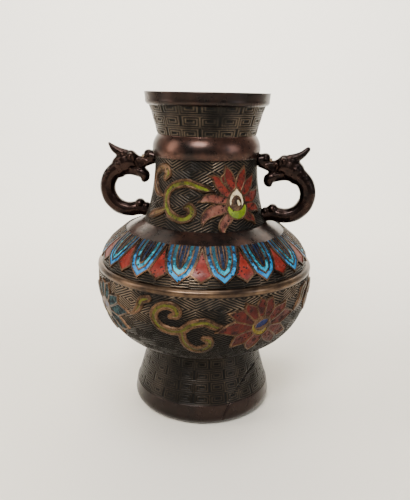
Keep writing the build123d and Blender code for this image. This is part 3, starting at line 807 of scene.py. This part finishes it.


def enamel_finish(name, deep, light, speck, collar_shade=0.0, fade=0.0, age=0.0):
    """Pitted glass: a deep colour that drifts into a light one, with specks and pits.

    Collar shade is painted shade: how far the glass below the collar's corner is darkened, as
    if shaded by the collar. Fade is how much of the glass has turned to a dusty pink, in broad
    patches. Age is how much of it the dirt and the painted shade hide.
    """
    finish = Finish(name)
    drift = finish.noise(150.0, detail=5.0).step(0.38, 0.64)
    blotch = finish.noise(560.0, detail=4.0, roughness=0.7)
    colour = finish.mix(drift * 0.7 + blotch.step(0.45, 0.70) * 0.3, deep, light)
    faded = finish.attribute("tone") * 0.75 + finish.noise(22.0, detail=1.0).step(0.50, 0.60) * fade
    colour = finish.mix(faded * (0.6 + 0.8 * drift), colour, FADED)
    fleck = finish.noise(520.0, detail=5.0, roughness=0.8).step(0.60, 0.66)
    colour = finish.mix(fleck * 0.8, colour, speck)
    hole = 1.0 - finish.cells(420.0).step(0.17, 0.31)
    hole = hole * finish.noise(140.0).step(0.44, 0.54)
    dirt_and_shade = finish.noise(260.0, detail=7.0, roughness=0.8)
    # painted shade: the glass is darkened more towards the collar's corner, on top of the real dirt
    if collar_shade:
        height = finish.node("ShaderNodeSeparateXYZ", None, {0: finish.place()}, out=2)
        dirt_and_shade = dirt_and_shade + height.step(SHADE_LOW, SHADE_HIGH) * collar_shade
    dirt_and_shade = dirt_and_shade.step(0.57 - age, 0.66 - age)
    # pits, dirt and the painted shade under the collar all take the dark pit colour
    dark = hole + dirt_and_shade * 0.85
    colour = finish.mix(dark, colour, PIT_DIRT_AND_SHADE)
    rough = 0.24 + 2.5 * age + 0.45 * dark + 0.10 * blotch
    height = 1.0 - hole - 0.5 * dirt_and_shade
    return finish.surface(
        Base_Color=colour, Roughness=rough, Normal=finish.bump(height, 0.00025, 0.8),
        Specular_IOR_Level=0.16,
    )


# Deep colour, light colour, specks, and what differs from clean glass, painted shade under the
# collar included.
ENAMELS = {
    "petal_enamel_sky": (
        (0.004, 0.120, 0.340), (0.012, 0.320, 0.620), (0.36, 0.60, 0.68),
        {"collar_shade": 0.19, "age": 0.03},
    ),
    "petal_enamel_turquoise": (
        (0.004, 0.200, 0.340), (0.020, 0.480, 0.600), (0.44, 0.70, 0.72),
        {"collar_shade": 0.21, "age": 0.02},
    ),
    "petal_enamel_dark": (
        (0.003, 0.004, 0.010), (0.005, 0.022, 0.070), (0.26, 0.32, 0.36), {"collar_shade": 0.12}
    ),
    "petal_enamel_red": (
        (0.090, 0.008, 0.005), (0.210, 0.024, 0.016), (0.36, 0.13, 0.11), {"fade": 0.8}
    ),
    "neck_lotus_petals": (
        (0.060, 0.005, 0.003), (0.185, 0.016, 0.007), (0.26, 0.11, 0.07), {"age": 0.07}
    ),
    "neck_lotus_heart_white": (
        (0.420, 0.330, 0.170), (0.700, 0.620, 0.430), (0.85, 0.84, 0.75), {}
    ),
    "neck_lotus_heart_green": (
        (0.080, 0.120, 0.002), (0.210, 0.280, 0.006), (0.42, 0.50, 0.08), {}
    ),
    "neck_scroll_enamel": (
        (0.046, 0.036, 0.003), (0.120, 0.155, 0.004), (0.26, 0.32, 0.04), {"age": 0.05}
    ),
    "bowl_lotus_petals_red": (
        (0.034, 0.003, 0.002), (0.090, 0.010, 0.005), (0.13, 0.04, 0.028), {"age": 0.07}
    ),
    "bowl_lotus_petals_blue": (
        (0.003, 0.014, 0.020), (0.006, 0.050, 0.058), (0.04, 0.20, 0.17), {"age": 0.11}
    ),
    "bowl_lotus_heart_blue": ((0.002, 0.003, 0.020), (0.004, 0.011, 0.075), (0.05, 0.09, 0.22), {}),
    "bowl_lotus_heart_yellow": (
        (0.080, 0.055, 0.003), (0.200, 0.150, 0.008), (0.38, 0.34, 0.08), {}
    ),
    "bowl_scroll_enamel": (
        (0.034, 0.027, 0.003), (0.085, 0.085, 0.005), (0.20, 0.20, 0.03), {"age": 0.05}
    ),
}
enamels = {}
for node, (deep, light, speck, ways) in ENAMELS.items():
    enamels[node] = enamel_finish(node, deep, light, speck, **ways)
    refinish(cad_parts[node], enamels[node])
print("enamels:", len(ENAMELS))

# %% [markdown]
# ## Walls, handles and pins
# The walls round the enamel are bronze that was ground level with it, and they get one finish
# of drifting tone, fine grain and pits. The handles are nearly black and glossy from use.

# %% Finish the walls, handles and pins


def metal_finish(name, dark, warm, shine, scale=300.0, pits=0.5):
    """Plain bronze with drifting tone, fine grain and a few pits."""
    finish = Finish(name)
    cloud = finish.noise(scale * 0.3)
    fine = finish.noise(scale * 2.4, detail=6.0, roughness=0.7)
    tone = (cloud * 0.55 + fine * 0.45).step(0.38, 0.62)
    hole = (1.0 - finish.cells(scale * 2.0).step(0.12, 0.30)) * pits
    colour = finish.mix(tone, dark, warm)
    colour = finish.mix(hole, colour, (0.010, 0.008, 0.007))
    rough = shine + 0.25 * fine + 0.2 * hole
    height = fine * 0.5 - hole
    return finish.surface(
        Base_Color=colour, Metallic=0.9, Roughness=rough, Normal=finish.bump(height, 0.00012, 0.7)
    )


walls = metal_finish("cell_walls", (0.020, 0.012, 0.008), (0.112, 0.062, 0.034), 0.26, 420.0)
black = metal_finish(
    "black_bronze", (0.006, 0.0045, 0.0045), (0.026, 0.014, 0.011), 0.12, scale=90.0, pits=0.0
)
pin_metal = metal_finish("pin_bronze", (0.060, 0.040, 0.026), (0.160, 0.110, 0.070), 0.35)

for node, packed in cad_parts.items():
    if node.endswith("_walls"):
        refinish(packed, walls)
    elif node.startswith("handle_pins"):
        refinish(packed, pin_metal)
refinish(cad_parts["base_disc"], bronze)
settle(handle_right, black, "black_bronze", "handle_right")
settle(handle_left, black, "black_bronze", "handle_left")
print("metal finishes set")

# %% [markdown]
# ## Flowers and scrolls
# The flowers and scrolls were drawn freehand, so their strokes swell, taper and hook. A stroke
# is a row of discs strung along a curve, and the depth of a point inside the stroke follows from
# the nearest disc. The same depth gives the raised wall, where it is small, and the pool of
# enamel, where it is large. Between two neighbouring strokes, where their depths are nearly
# equal, a wall is left standing.

# %% Draw with strokes
WALL = 0.95
WALL_TOP = 1.3
POOL = 0.9
DISC_GAP = 0.3
GRID_STEP = 0.28
# Share of a petal's length, and share of its full width there.
PETAL_WIDTHS = [(0.0, 0.60), (0.25, 0.95), (0.46, 0.90), (0.70, 0.56), (0.88, 0.26), (1.0, 0.06)]


def stroke(*stops):
    """Discs along a smooth curve; each stop is (across, up, half-width) in millimetres."""
    return np.vstack([spline(stops, DISC_GAP, 2), stops[-1]])


def petal(tip, root, width, hook):
    """A petal from the heart to its tip; hook bends the tip sideways, in millimetres."""
    tip = np.array(tip, dtype=float)
    reach = np.hypot(*tip)
    ahead = tip / reach
    aside = np.array([-ahead[1], ahead[0]])
    places = []
    for t, wide in PETAL_WIDTHS:
        along = root + (reach - root) * t
        spot = ahead * along + aside * hook * (t ** 2 - t) * 1.6
        places.append((*spot, wide * width))
    return stroke(*places)


def depth_in(across, up, discs):
    """How deep each point lies inside a stroke; negative outside it."""
    deepest = np.full(across.shape, -99.0)
    for x, y, half in discs:
        deepest = np.maximum(deepest, half - np.hypot(across - x, up - y))
    return deepest


def two_deepest(across, up, strokes):
    """The depth in the deepest stroke and in the next one."""
    depths = np.stack([depth_in(across, up, discs) for discs in strokes])
    order = np.sort(depths, axis=0)
    return order[-1], order[-2] if len(strokes) > 1 else np.full(across.shape, -99.0)


class Surface:
    """A casting's outside, on which a drawing is laid."""

    def __init__(self, node, low, high, radius):
        points = between(profile(node, 1), low, high, 0.5)
        self.points = points
        self.radius = radius
        tangent = np.gradient(points, axis=0)
        self.tangent = tangent / np.linalg.norm(tangent, axis=1)[:, None]

    def lay(self, across, up, lift, azimuth, height):
        """Points in metres for places on the drawing, lifted off the casting."""
        z = height + up
        heights = self.points[:, 1]
        radius = np.interp(z, heights, self.points[:, 0])
        dr = np.interp(z, heights, self.tangent[:, 0])
        dz = np.interp(z, heights, self.tangent[:, 1])
        angle = radians(azimuth) + across / self.radius
        radius = radius + lift * dz
        z = z - lift * dr
        return np.stack([radius * np.sin(angle), -radius * np.cos(angle), z], axis=-1) * MM


def patch(name, grid, lift, keep, surface, places, node, tone=None):
    """Faces of a drawing's grid where keep is positive, laid once for each (azimuth, height)."""
    across, up = grid
    rows, columns = across.shape
    corner = np.arange(rows * columns).reshape(rows, columns)
    quads = np.stack([corner[:-1, :-1], corner[:-1, 1:], corner[1:, 1:], corner[1:, :-1]], axis=-1)
    middle = (keep[:-1, :-1] + keep[:-1, 1:] + keep[1:, 1:] + keep[1:, :-1]) / 4
    quads = quads[middle > 0.0].reshape(-1, 4)
    step = across[0, 1] - across[0, 0]
    slope_up, slope_across = np.gradient(keep, step)
    steep = slope_up ** 2 + slope_across ** 2
    near = (np.abs(keep) < 0.75 * step) & (steep > 0.2)
    shift = np.where(near, -keep / np.maximum(steep, 0.2), 0.0)
    x, y = across + shift * slope_across, up + shift * slope_up
    used, faces = np.unique(quads, return_inverse=True)
    faces = faces.reshape(-1, 4)
    spots, all_faces, maps = [], [], []
    u = (x - across.min()) / np.ptp(across) * 0.96 + 0.02
    v = (y - up.min()) / np.ptp(up) * 0.96 + 0.02
    for copy, (azimuth, height) in enumerate(places):
        laid = surface.lay(x.ravel()[used], y.ravel()[used], lift.ravel()[used], azimuth, height)
        spots.append(laid)
        all_faces.append(faces + copy * len(used))
        flat = np.stack([(u.ravel()[used] + copy) / len(places), v.ravel()[used]], axis=-1)
        maps.append(flat[faces])
    numbers = {} if tone is None else {"tone": np.tile(tone.ravel()[used], len(places))}
    piece = quad_piece(name, np.vstack(spots), np.vstack(all_faces), np.vstack(maps), numbers)
    settle(piece, enamels.get(node, walls), node if node in enamels else "cell_walls", node)
    return piece


def drawing_grid(left, right, low, high):
    """A square grid over a drawing."""
    across = np.arange(left, right + GRID_STEP, GRID_STEP)
    up = np.arange(low, high + GRID_STEP, GRID_STEP)
    return np.meshgrid(across, up)


def wall_lift(edge, cell):
    """Height of the walls: full between the outer edge and a cell, and falling away at both."""
    lift = -0.4 + (WALL_TOP + 0.4) * smooth(-0.05, 0.40, edge)
    return lift - 0.75 * smooth(0.05, 0.45, cell)


def pool_lift(cell, grid):
    """Height of the enamel: a pool that creeps up its walls and dips unevenly."""
    across, up = grid
    dip = 0.06 * np.sin(1.7 * across + 0.6 * up) * np.sin(1.3 * up - 0.8 * across)
    return POOL + 0.22 * np.exp(-np.maximum(cell, 0.0) / 0.35) + dip


def raise_walls(name, grid, shape, cell, surface, places, node):
    """The walls between a drawing's outline and its cells."""
    keep = np.minimum(shape + 0.2, 0.5 - cell)
    patch(name, grid, wall_lift(shape, cell), keep, surface, places, node)


def pour(name, grid, cell, surface, places, node, tone=None, above=0.0):
    """The enamel in a drawing's cells; above is how far it stands over the usual pool."""
    patch(name, grid, pool_lift(cell, grid) + above, cell, surface, places, node, tone)


def flower(petals, heart):
    """Depths of a flower: its whole shape, and its petal cells round a heart of given radius."""
    grid = drawing_grid(-29.5, 27.5, -21.0, 24.0)
    first, second = two_deepest(*grid, petals)
    disc = heart - np.hypot(*grid)
    shape = np.maximum(first, disc)
    cell = np.minimum.reduce([first - WALL, (first - second - 0.8) * 0.7, -disc - 0.1])
    return grid, shape, cell, disc


print("drawing tools ready")

# %% [markdown]
# ## The lotus on the neck
# Eleven hooked petals surround a heart with a pointed white bud, a small white dot in the bud,
# and a green crescent under it. A scroll leaves the flower to the left and curls back on itself,
# with a second curl and a side branch beyond it.

# %% Draw the neck's flowers and scrolls
NECK_RADIUS = 33.5
NECK_HEART = (39.0, 138.6)  # azimuth and height
neck_face = Surface("neck_casting", z_neck, z_bead, NECK_RADIUS)
neck_spots = [(NECK_HEART[0] + turn, NECK_HEART[1]) for turn in (0.0, 180.0)]
neck_petals = [
    [(-3.6, 3.8, 2.8), (-7.4, 7.6, 3.8), (-10.6, 11.4, 3.5), (-13.6, 14.6, 1.9)]
    + [(-18.4, 15.6, 0.2)],
    [(-5.0, 8.4, 2.4), (-8.4, 12.6, 2.5), (-7.8, 17.4, 0.2)],
    [(-1.8, 5.5, 3.0), (-3.4, 11.0, 4.2), (-5.0, 16.4, 3.2), (-6.8, 21.8, 0.2)],
    [(1.8, 5.5, 3.0), (3.6, 11.0, 4.2), (5.2, 15.6, 3.3), (7.0, 21.2, 0.2)],
    [(3.8, 3.6, 3.0), (8.6, 8.4, 4.0), (12.4, 11.8, 3.0), (15.8, 15.8, 0.2)],
    [(4.8, 0.6, 2.8), (11.0, 2.2, 3.9), (16.4, 3.6, 2.8), (21.4, 7.4, 0.2)],
    [(4.6, -1.6, 2.6), (10.0, -3.4, 3.5), (14.8, -4.4, 2.6), (18.6, -8.2, 0.2)],
    [(3.2, -4.6, 2.6), (7.2, -8.4, 3.2), (10.6, -10.6, 2.2), (11.8, -14.6, 0.2)],
    [(-3.0, -4.5, 2.6), (-6.2, -8.8, 3.3), (-9.0, -12.4, 2.9), (-9.4, -15.6, 1.7)]
    + [(-7.8, -18.8, 0.2)],
    [(-4.5, -1.8, 2.6), (-9.5, -3.2, 3.6), (-14.6, -4.4, 3.8), (-18.8, -8.0, 2.6)]
    + [(-20.2, -13.6, 0.4)],
    [(-4.8, 0.8, 2.4), (-11.0, 2.0, 3.2), (-17.0, 3.0, 3.0), (-20.8, 1.4, 1.5), (-24.0, 0.0, 0.2)],
]
neck_petals = [stroke(*stops) for stops in neck_petals]
grid, shape, cell, disc = flower(neck_petals, 6.4)
bud = depth_in(*grid, stroke((0.0, 0.6, 5.0), (0.0, 2.6, 4.3), (0.2, 5.2, 2.3), (0.4, 8.4, 0.2)))
hollow = depth_in(*grid, stroke((-0.2, -1.2, 3.4), (0.0, 0.8, 3.1), (0.2, 3.4, 0.6)))
dot = depth_in(*grid, stroke((0.9, 0.6, 0.9), (1.5, -1.0, 1.1)))
bud_cell = np.maximum(np.minimum(bud - 0.3, -hollow), dot)
crescent = np.minimum(6.3 - np.hypot(grid[0] - 0.3, grid[1] + 3.2), -bud - 0.4)
crescent = np.minimum(crescent, -1.6 - grid[1])
hearts = np.maximum(bud_cell, crescent)
edge = np.maximum.reduce([shape, bud, crescent + 0.9])
cells = np.maximum(np.minimum.reduce([cell, -bud - 0.6, -crescent - 0.8]), hearts)
raise_walls("neck_flower_walls", grid, edge, cells, neck_face, neck_spots, "neck_lotus_walls")
petals = np.minimum.reduce([cell, -bud - 0.6, -crescent - 0.8])
faded = smooth(-2.0, 12.0, -0.75 * grid[0] - 0.65 * grid[1])
pour("neck_flower_petals", grid, petals, neck_face, neck_spots, "neck_lotus_petals", tone=faded)
pour("neck_flower_bud", grid, bud_cell, neck_face, neck_spots, "neck_lotus_heart_white", above=0.1)
pour("neck_flower_crescent", grid, crescent, neck_face, neck_spots, "neck_lotus_heart_green")


def scroll(name, strokes, petals, surface, places, bounds, core, worn=99.0):
    """Walls and enamel of a scroll, up to the petals of its flower.

    Core is the width of wall beside the enamel. Beyond worn, on the left, the enamel has lost its
    colour.
    """
    grid = drawing_grid(*bounds)
    first = two_deepest(*grid, strokes)[0]
    block = two_deepest(*grid, petals)[0]
    shape = np.minimum(first, -block - 0.1)
    cell = np.minimum(first - core, -block - 0.8)
    raise_walls(name + "_walls", grid, shape, cell, surface, places, name + "_walls")
    pour(name + "_enamel", grid, cell, surface, places, name + "_enamel",
         tone=smooth(worn, worn + 3.0, -grid[0]))


def from_degrees(stops, radius, azimuth, height):
    """Stops given as (azimuth, height, half-width), turned into places on a drawing."""
    return [(radians(a - azimuth) * radius, z - height, half) for a, z, half in stops]


stem = [(16.5, 143.2, 1.7), (8.4, 146.0, 2.5), (0.2, 147.6, 2.7), (-12.9, 149.6, 2.8)]
stem += [(-26.9, 147.3, 2.8), (-35.0, 142.6, 2.7), (-34.6, 136.4, 2.7), (-28.8, 131.6, 2.7)]
stem += [(-17.8, 128.8, 2.7), (-9.4, 129.8, 2.8), (-5.6, 133.4, 2.9), (-8.6, 136.4, 2.6)]
stem += [(-12.6, 135.6, 1.9)]
comma = [(-42.6, 140.6, 1.2), (-52.0, 142.4, 2.5), (-59.0, 146.6, 2.8), (-58.8, 152.4, 2.8)]
comma += [(-50.0, 156.4, 2.8), (-41.0, 157.0, 3.0), (-36.6, 154.2, 3.0), (-40.0, 151.2, 2.4)]
branch = [(-33.0, 134.0, 1.9), (-42.0, 131.4, 2.6), (-52.0, 129.0, 2.7), (-61.0, 126.4, 1.5)]
strokes = [stroke(*from_degrees(line, NECK_RADIUS, *NECK_HEART)) for line in (stem, comma, branch)]

scroll("neck_scroll", strokes, neck_petals, neck_face, neck_spots, (-62.0, -8.0, -14.0, 23.0),
       core=1.55, worn=43.0)

# %% [markdown]
# ## The lotus on the bowl
# Four larger flowers stand round the bowl, two of them red and two blue-green. Each has a blue
# lens at its heart with a yellow crescent under it, and a stem that splits into two curls.

# %% Draw the bowl's flowers and scrolls
BOWL_RADIUS = 65.7
BOWL_HEART = (36.5, 74.7)  # azimuth and height
bowl_face = Surface("bowl_casting", z_bowl, z_band, BOWL_RADIUS)
red_spots = [(BOWL_HEART[0] + turn, BOWL_HEART[1]) for turn in (0.0, 180.0)]
blue_spots = [(azimuth + 90.0, height) for azimuth, height in red_spots]
bowl_spots = red_spots + blue_spots
bowl_tips = [(-27.6, -2.0), (-21.0, 9.6), (-10.6, 15.4), (-2.0, 17.4), (6.4, 16.6), (16.5, 12.2)]
bowl_tips += [(25.0, 3.2), (22.0, -8.0), (12.4, -15.0), (-4.0, -17.0), (-17.4, -13.2)]
bowl_hooks = [3.0, 3.5, -2.0, 2.0, -2.5, 3.0, -3.0, 3.0, -3.0, 3.5, 4.0]
bowl_petals = [petal(tip, 5.4, 5.4, hook) for tip, hook in zip(bowl_tips, bowl_hooks)]
grid, shape, cell, disc = flower(bowl_petals, 6.2)
turn = radians(24)
along = grid[0] * cos(turn) + (grid[1] - 1.4) * sin(turn)
aside = -grid[0] * sin(turn) + (grid[1] - 1.4) * cos(turn)
lens = (1.0 - np.hypot(along / 4.4, aside / 2.1)) * 2.0
crescent = 5.6 - np.hypot(grid[0] + 1.6, grid[1] + 2.2)
crescent = np.minimum.reduce([crescent, disc - 0.2, np.hypot(grid[0] + 0.2, grid[1] - 1.8) - 4.8])
cells = np.maximum.reduce([cell, lens, crescent])
raise_walls("bowl_flower_walls", grid, shape, cells, bowl_face, bowl_spots, "bowl_lotus_walls")
for part, pool, spots, node in (
    ("red", cell, red_spots, "petals_red"),
    ("blue", cell, blue_spots, "petals_blue"),
    ("lens", lens, bowl_spots, "heart_blue"),
    ("crescent", crescent, bowl_spots, "heart_yellow"),
):
    pour("bowl_flower_" + part, grid, pool, bowl_face, spots, "bowl_lotus_" + node)

stem = [(22.8, 73.6, 1.6), (13.3, 76.6, 2.5), (8.0, 79.4, 2.8), (1.4, 77.6, 2.8), (-3.1, 73.6, 2.7)]
stem += [(-8.2, 72.6, 2.7), (-14.2, 74.8, 2.7), (-17.0, 80.2, 2.7), (-15.2, 85.2, 2.7)]
stem += [(-10.6, 88.0, 2.7), (-6.0, 86.8, 2.9), (-5.2, 83.2, 2.7), (-8.4, 81.8, 1.8)]
under = [(-3.0, 73.0, 2.2), (-2.6, 67.2, 2.5), (0.2, 62.4, 2.6), (5.1, 60.6, 2.6), (9.8, 63.0, 2.7)]
under += [(10.4, 67.4, 2.7), (7.4, 68.8, 1.9)]
comma = [(70.0, 90.0, 2.4), (66.6, 88.4, 2.6), (64.4, 83.6, 2.4), (61.0, 79.6, 1.6)]
comma += [(57.0, 77.4, 0.5)]
strokes = [stroke(*from_degrees(line, BOWL_RADIUS, *BOWL_HEART)) for line in (stem, under, comma)]

scroll("bowl_scroll", strokes, bowl_petals, bowl_face, bowl_spots, (-66.0, 43.0, -18.0, 19.0),
       core=1.65)

# %% [markdown]
# ## The stage
# A plain pale floor curves up behind the vase, and large soft lamps stand round it, the way a
# small object is lit in a studio. The dark metal is only seen by what it reflects, so the lamps
# are wide.

# %% Set the floor and the lamps


def make_floor():
    """A pale sweep: flat under the vase and curved up behind it."""
    line = [(-1.2, 0.0), (0.5, 0.0)]
    line += [(0.5 + 0.4 * sin(radians(a)), 0.4 - 0.4 * cos(radians(a))) for a in range(9, 91, 9)]
    line += [(0.9, 1.6)]
    spots, faces = [], []
    turn = Matrix.Rotation(AZIMUTH, 3, "Z")
    for y, z in line:
        spots += [turn @ Vector((-1.8, y, z)), turn @ Vector((1.8, y, z))]
    for k in range(len(line) - 1):
        faces.append((2 * k, 2 * k + 1, 2 * k + 3, 2 * k + 2))
    mesh = bpy.data.meshes.new("floor")
    mesh.from_pydata(spots, [], faces)
    for face in mesh.polygons:
        face.use_smooth = True
    finish = Finish("floor")
    finish.surface(Base_Color=(0.88, 0.83, 0.73, 1.0), Roughness=0.8)
    mesh.materials.append(finish.material)
    return link("floor", mesh)


def lamp(name, azimuth, height, distance, size, power, colour=(1.0, 1.0, 1.0)):
    """A soft square lamp that faces the vase."""
    data = bpy.data.lights.new(name, "AREA")
    data.shape = "RECTANGLE"
    data.size, data.size_y = size
    data.energy = power
    data.color = colour
    turn = radians(azimuth)
    spot = Vector((distance * sin(turn), -distance * cos(turn), height))
    aim = Vector((0.0, 0.0, 0.10)) - spot
    made = link(name, data)
    made.location = spot
    made.rotation_euler = aim.to_track_quat("-Z", "Y").to_euler()
    return made


floor = make_floor()
lamp("key", -10, 0.72, 0.70, (0.35, 0.22), 10.0, (1.0, 0.98, 0.95))
lamp("side", -70, 0.40, 0.80, (0.25, 0.6), 4.0, (1.0, 0.90, 0.80))
lamp("fill", 62, 0.40, 0.95, (0.30, 0.5), 3.0, (0.92, 0.95, 1.0))
lamp("top", 10, 1.20, 0.10, (0.5, 0.5), 6.0)
lamp("backdrop", 187, 1.10, 0.20, (1.4, 0.5), 46.0).rotation_euler = (radians(78), 0.0, AZIMUTH)
world = bpy.data.worlds.new("studio")
world.use_nodes = True
world.node_tree.nodes["Background"].inputs["Color"].default_value = (0.90, 0.88, 0.85, 1.0)
world.node_tree.nodes["Background"].inputs["Strength"].default_value = 0.30
bpy.context.scene.world = world
print("stage set")
